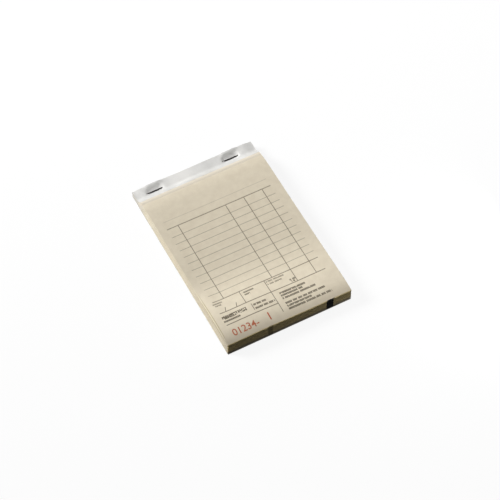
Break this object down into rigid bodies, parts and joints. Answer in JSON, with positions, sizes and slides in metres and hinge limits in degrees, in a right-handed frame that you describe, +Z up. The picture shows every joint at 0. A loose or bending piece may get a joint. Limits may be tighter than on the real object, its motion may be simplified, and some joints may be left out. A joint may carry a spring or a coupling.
{
  "type": "duplicate receipt book",
  "caption": "Pocket duplicate receipt book: ruled originals over plain copies, stapled at the head through a folded paper strip onto a card back, with leaves that turn over the head.",
  "frame": {"origin": "centre of the pad's footprint, on the surface it lies on", "axes": "+X across the writing to the right, +Y towards the stapled head, +Z up out of the top leaf"},
  "size_m": [0.0908, 0.14, 0.01],
  "materials": {
    "original_paper": "uncoated, matt",
    "copy_paper": "uncoated, matt",
    "card": "grey board, matt",
    "strip_paper": "coated, satin",
    "staple_wire": "drawn wire"
  },
  "bodies": {
    "pad": {"backing_card": "card", "head_strip": "strip_paper", "left_staple": "staple_wire", "right_staple": "staple_wire", "original_stubs": "original_paper", "copy_stubs": "copy_paper", "original_leaf_06": "original_paper", "copy_leaf_06": "copy_paper", "original_leaf_07": "original_paper", "copy_leaf_07": "copy_paper", "original_leaf_08": "original_paper", "copy_leaf_08": "copy_paper", "original_leaf_09": "original_paper", "copy_leaf_09": "copy_paper", "original_leaf_10": "original_paper", "copy_leaf_10": "copy_paper", "original_leaf_11": "original_paper", "copy_leaf_11": "copy_paper", "original_leaf_12": "original_paper", "copy_leaf_12": "copy_paper", "original_leaf_13": "original_paper", "copy_leaf_13": "copy_paper", "original_leaf_14": "original_paper", "copy_leaf_14": "copy_paper", "original_leaf_15": "original_paper", "copy_leaf_15": "copy_paper", "original_leaf_16": "original_paper", "copy_leaf_16": "copy_paper", "original_leaf_17": "original_paper", "copy_leaf_17": "copy_paper", "original_leaf_18": "original_paper", "copy_leaf_18": "copy_paper", "original_leaf_19": "original_paper", "copy_leaf_19": "copy_paper", "original_leaf_20": "original_paper", "copy_leaf_20": "copy_paper", "original_leaf_21": "original_paper", "copy_leaf_21": "copy_paper", "original_leaf_22": "original_paper", "copy_leaf_22": "copy_paper", "original_leaf_23": "original_paper", "copy_leaf_23": "copy_paper", "original_leaf_24": "original_paper", "copy_leaf_24": "copy_paper", "original_leaf_25": "original_paper", "copy_leaf_25": "copy_paper"},
    "original_leaf_01": {"original_leaf_01": "original_paper"},
    "copy_leaf_01": {"copy_leaf_01": "copy_paper"},
    "original_leaf_02": {"original_leaf_02": "original_paper"},
    "copy_leaf_02": {"copy_leaf_02": "copy_paper"},
    "original_leaf_03": {"original_leaf_03": "original_paper"},
    "copy_leaf_03": {"copy_leaf_03": "copy_paper"},
    "original_leaf_04": {"original_leaf_04": "original_paper"},
    "copy_leaf_04": {"copy_leaf_04": "copy_paper"},
    "original_leaf_05": {"original_leaf_05": "original_paper"},
    "copy_leaf_05": {"copy_leaf_05": "copy_paper"}
  },
  "joints": [
    {"name": "turn_original_leaf_01", "type": "hinge", "parent": "copy_leaf_01", "child": "original_leaf_01", "pos_m": [0, 0.05425, 0.0102], "axis": [-1, 0, 0], "range_deg": [0, 180]},
    {"name": "turn_copy_leaf_01", "type": "hinge", "parent": "original_leaf_02", "child": "copy_leaf_01", "pos_m": [0, 0.05425, 0.0102], "axis": [-1, 0, 0], "range_deg": [0, 180]},
    {"name": "turn_original_leaf_02", "type": "hinge", "parent": "copy_leaf_02", "child": "original_leaf_02", "pos_m": [0, 0.05425, 0.0102], "axis": [-1, 0, 0], "range_deg": [0, 180]},
    {"name": "turn_copy_leaf_02", "type": "hinge", "parent": "original_leaf_03", "child": "copy_leaf_02", "pos_m": [0, 0.05425, 0.0102], "axis": [-1, 0, 0], "range_deg": [0, 180]},
    {"name": "turn_original_leaf_03", "type": "hinge", "parent": "copy_leaf_03", "child": "original_leaf_03", "pos_m": [0, 0.05425, 0.0102], "axis": [-1, 0, 0], "range_deg": [0, 180]},
    {"name": "turn_copy_leaf_03", "type": "hinge", "parent": "original_leaf_04", "child": "copy_leaf_03", "pos_m": [0, 0.05425, 0.0102], "axis": [-1, 0, 0], "range_deg": [0, 180]},
    {"name": "turn_original_leaf_04", "type": "hinge", "parent": "copy_leaf_04", "child": "original_leaf_04", "pos_m": [0, 0.05425, 0.0102], "axis": [-1, 0, 0], "range_deg": [0, 180]},
    {"name": "turn_copy_leaf_04", "type": "hinge", "parent": "original_leaf_05", "child": "copy_leaf_04", "pos_m": [0, 0.05425, 0.0102], "axis": [-1, 0, 0], "range_deg": [0, 180]},
    {"name": "turn_original_leaf_05", "type": "hinge", "parent": "copy_leaf_05", "child": "original_leaf_05", "pos_m": [0, 0.05425, 0.0102], "axis": [-1, 0, 0], "range_deg": [0, 180]},
    {"name": "turn_copy_leaf_05", "type": "hinge", "parent": "pad", "child": "copy_leaf_05", "pos_m": [0, 0.05425, 0.0102], "axis": [-1, 0, 0], "range_deg": [0, 180]}
  ]
}
